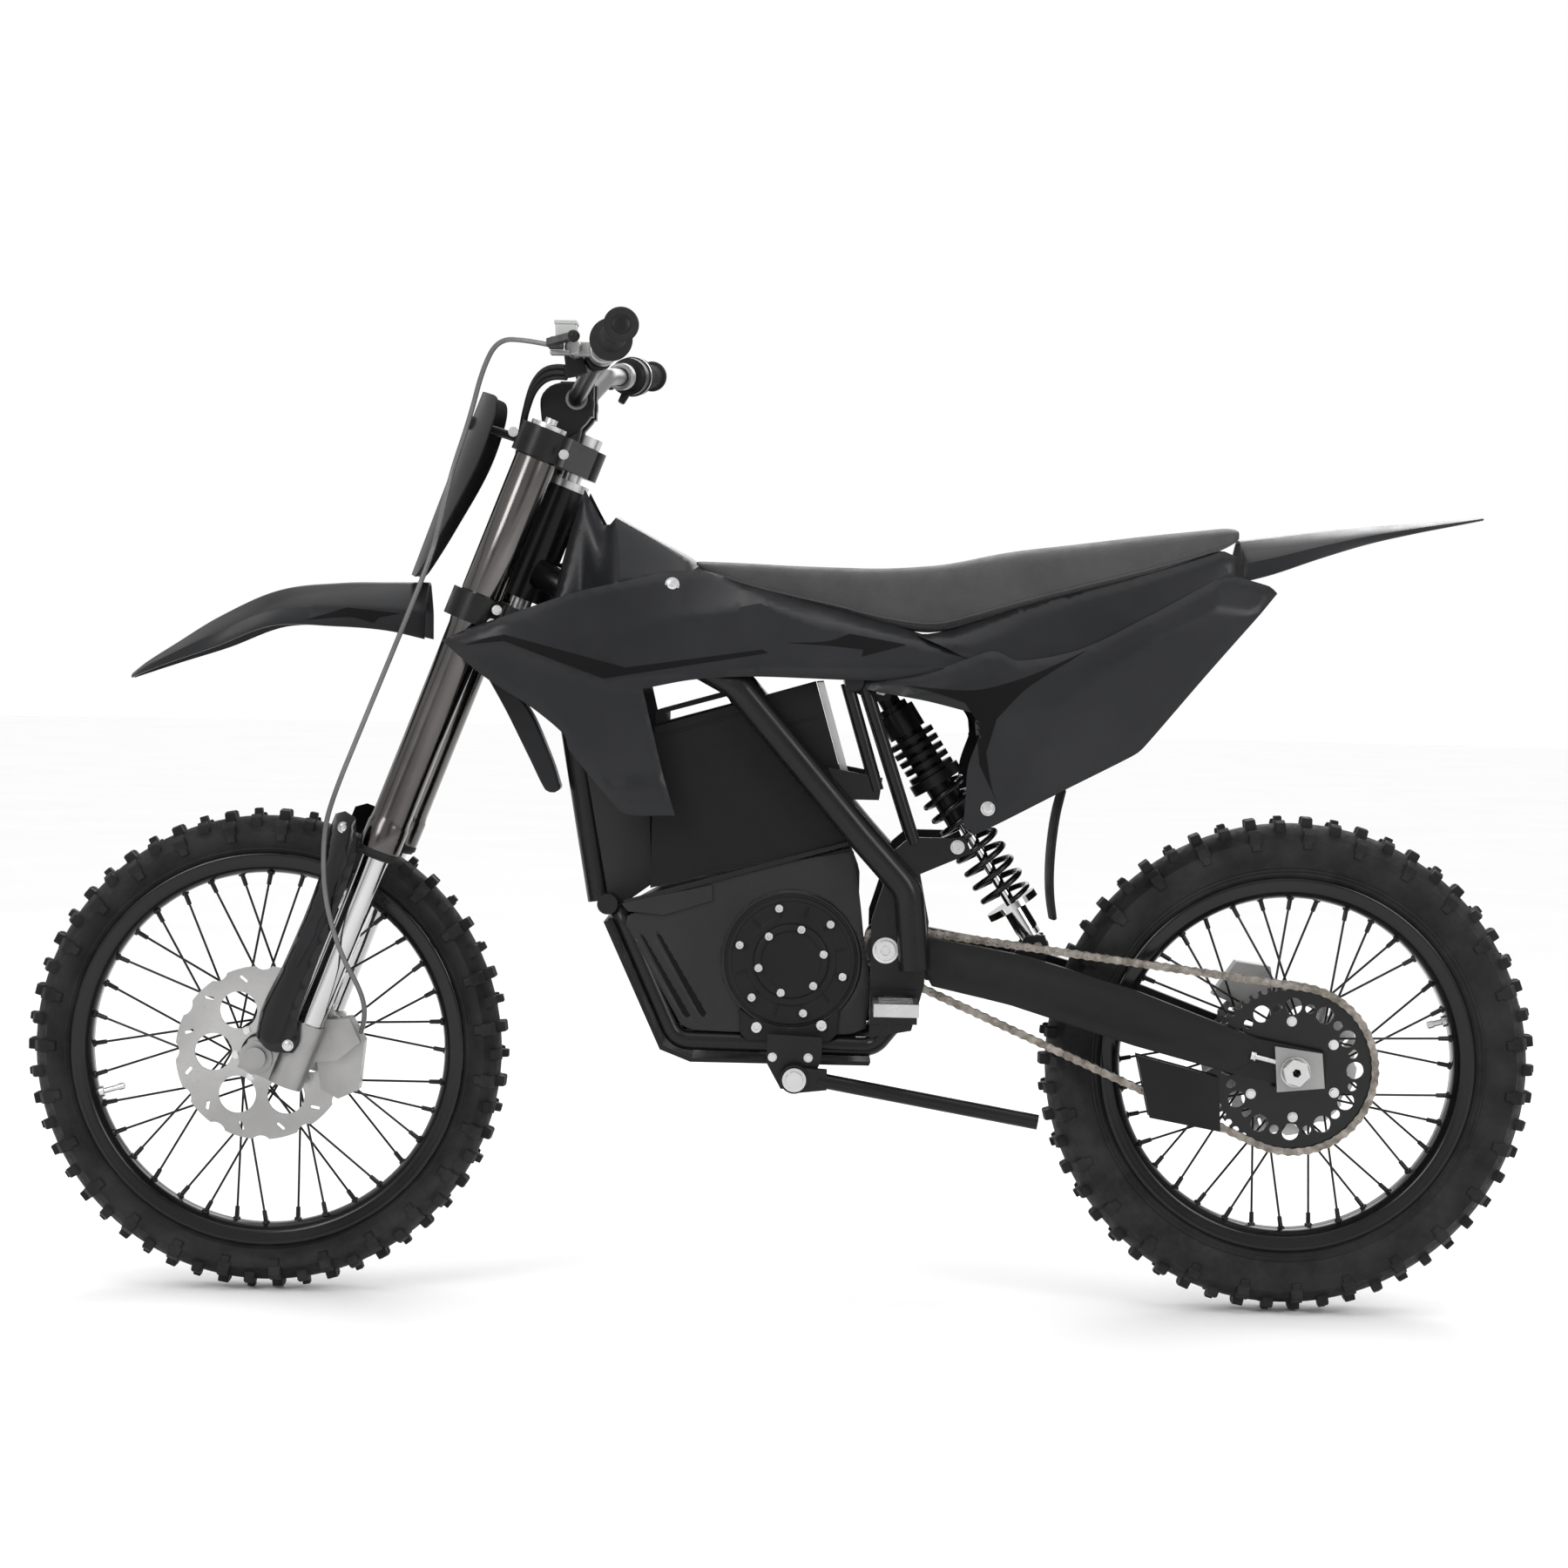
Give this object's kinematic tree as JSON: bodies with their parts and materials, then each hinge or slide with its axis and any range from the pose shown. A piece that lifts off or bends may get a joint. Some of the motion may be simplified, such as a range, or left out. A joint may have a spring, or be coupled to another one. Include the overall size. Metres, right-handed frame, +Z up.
{
  "type": "electric dirt bike",
  "caption": "Black electric dirt bike with battery box, side motor, chain drive, long-travel fork, rear shock, knobby spoked wheels and a folding side stand.",
  "frame": {"origin": "middle of the footprint on the ground, half way along and across the bike", "axes": "-X to the front wheel, -Y to the left (chain) side, +Z up"},
  "size_m": [1.941, 0.8067, 1.2351],
  "materials": {
    "frame_black": "satin",
    "arm_black": "satin",
    "steel": "brushed",
    "bolt_steel": "satin",
    "battery_black": "matte",
    "alloy": "satin",
    "cast_black": "matte",
    "seat_vinyl": "matte",
    "body_plastic": "satin",
    "gloss_black": "gloss",
    "rubber": "matte",
    "anodised_bronze": "gloss",
    "anodised_black": "satin",
    "bar_grey": "satin",
    "control_black": "satin",
    "hose": "satin",
    "hard_chrome": "polished",
    "rim_black": "gloss",
    "tyre": "matte",
    "chain_steel": "satin"
  },
  "bodies": {
    "frame": {"main_frame": "frame_black", "head_bearings": "steel", "frame_fasteners": "bolt_steel", "subframe": "frame_black", "battery_case": "battery_black", "battery_cells": "battery_black", "battery_cooling_strip": "alloy", "motor_housing": "cast_black", "motor_cover": "cast_black", "seat_cushion": "seat_vinyl", "seat_base": "battery_black", "tank_cover": "body_plastic", "shrouds": "body_plastic", "side_panels": "body_plastic", "rear_fender": "body_plastic", "mud_flap": "rubber", "skid_plate": "frame_black"},
    "rotor": {"motor_rotor": "steel"},
    "output_sprocket": {"drive_sprocket": "steel"},
    "steering": {"fork_outer_tubes": "anodised_bronze", "fork_caps": "alloy", "fork_clamps": "anodised_black", "steering_stem": "steel", "handlebar": "bar_grey", "grip_left": "rubber", "bar_controls": "control_black", "brake_masters": "alloy", "number_plate": "body_plastic", "front_fender": "body_plastic", "front_brake_hose": "hose", "control_cables": "hose"},
    "throttle": {"throttle_grip": "rubber"},
    "lever_left": {"brake_lever_left": "control_black"},
    "lever_right": {"brake_lever_right": "control_black"},
    "fork_lower": {"fork_stanchions": "hard_chrome", "axle_lugs": "alloy", "fork_guards": "gloss_black", "front_caliper": "alloy"},
    "front_wheel": {"front_rim": "rim_black", "front_tyre": "tyre", "front_hub": "anodised_black", "front_spokes": "rim_black", "front_disc": "steel"},
    "rear_arm": {"swingarm": "arm_black", "rear_axle": "alloy", "chain_guide": "control_black", "rear_caliper": "alloy", "chain": "chain_steel"},
    "rear_wheel": {"rear_rim": "rim_black", "rear_tyre": "tyre", "rear_hub": "anodised_black", "rear_spokes": "rim_black", "rear_disc": "steel", "rear_sprocket": "rim_black"},
    "shock_upper": {"shock_body": "anodised_black", "shock_spring": "rim_black"},
    "shock_lower": {"shock_rod": "alloy"},
    "side_stand": {"kickstand": "frame_black"},
    "peg_left": {"footpeg_left": "steel"},
    "peg_right": {"footpeg_right": "steel"}
  },
  "joints": [
    {"name": "steering_turn", "type": "hinge", "parent": "frame", "child": "steering", "pos_m": [-0.26977, 0, 1.08699], "axis": [0.3573, 0, 0.934], "range_deg": [-37, 37]},
    {"name": "fork_slide", "type": "slide", "parent": "steering", "child": "fork_lower", "axis": [0.3573, 0, 0.934], "range_m": [0, 0.18], "stiffness_N_per_m": 4500, "springref_m": -0.03, "deforming": ["front_brake_hose"]},
    {"name": "front_wheel_spin", "type": "hinge", "parent": "fork_lower", "child": "front_wheel", "pos_m": [-0.6595, 0, 0.311], "axis": [0, 1, 0], "continuous": true},
    {"name": "throttle_twist", "type": "hinge", "parent": "steering", "child": "throttle", "pos_m": [-0.246, 0.128, 1.192], "axis": [0.1639, 0.9832, 0.0801], "range_deg": [0, 70], "stiffness_Nm_per_rad": 0.3, "springref_deg": -17.19},
    {"name": "lever_left_pull", "type": "hinge", "parent": "steering", "child": "lever_left", "pos_m": [-0.28683, -0.24, 1.198], "axis": [0, 0, 1], "range_deg": [0, 12], "stiffness_Nm_per_rad": 1.5, "springref_deg": -11.46},
    {"name": "lever_right_pull", "type": "hinge", "parent": "steering", "child": "lever_right", "pos_m": [-0.28683, 0.24, 1.198], "axis": [0, 0, -1], "range_deg": [0, 12], "stiffness_Nm_per_rad": 1.5, "springref_deg": -11.46},
    {"name": "swingarm_swing", "type": "hinge", "parent": "frame", "child": "rear_arm", "pos_m": [0.1306, 0, 0.463], "axis": [0, -1, 0], "range_deg": [0, 18], "stiffness_Nm_per_rad": 1700, "springref_deg": -2.86},
    {"name": "rear_wheel_spin", "type": "hinge", "parent": "rear_arm", "child": "rear_wheel", "pos_m": [0.6505, 0, 0.32], "axis": [0, 1, 0], "continuous": true},
    {"name": "output_spin", "type": "hinge", "parent": "frame", "child": "output_sprocket", "pos_m": [0.1306, 0, 0.463], "axis": [0, 1, 0], "continuous": true},
    {"name": "rotor_spin", "type": "hinge", "parent": "frame", "child": "rotor", "pos_m": [0.012, 0, 0.446], "axis": [0, 1, 0], "continuous": true},
    {"name": "shock_tilt", "type": "hinge", "parent": "frame", "child": "shock_upper", "pos_m": [0.12, 0, 0.791], "axis": [0, -1, 0], "range_deg": [-1, 6]},
    {"name": "shock_slide", "type": "slide", "parent": "shock_upper", "child": "shock_lower", "axis": [-0.536, 0, 0.8442], "range_m": [-0.001, 0.058], "deforming": ["shock_spring"]},
    {"name": "stand_swing", "type": "hinge", "parent": "frame", "child": "side_stand", "pos_m": [0.019, -0.124, 0.301], "axis": [0, 1, 0], "range_deg": [0, 102]},
    {"name": "peg_left_fold", "type": "hinge", "parent": "frame", "child": "peg_left", "pos_m": [0.143, -0.117, 0.398], "axis": [-1, 0, 0], "range_deg": [0, 60], "stiffness_Nm_per_rad": 2, "springref_deg": -17.19},
    {"name": "peg_right_fold", "type": "hinge", "parent": "frame", "child": "peg_right", "pos_m": [0.143, 0.117, 0.398], "axis": [1, 0, 0], "range_deg": [0, 60], "stiffness_Nm_per_rad": 2, "springref_deg": -17.19}
  ],
  "couplings": [
    {"joint": "output_spin", "follows": "rear_wheel_spin", "ratio": 4},
    {"joint": "rotor_spin", "follows": "rear_wheel_spin", "ratio": 10},
    {"joint": "shock_tilt", "follows": "swingarm_swing", "ratio": 0.22992},
    {"joint": "shock_slide", "follows": "swingarm_swing", "m_per_rad": 0.17754}
  ]
}
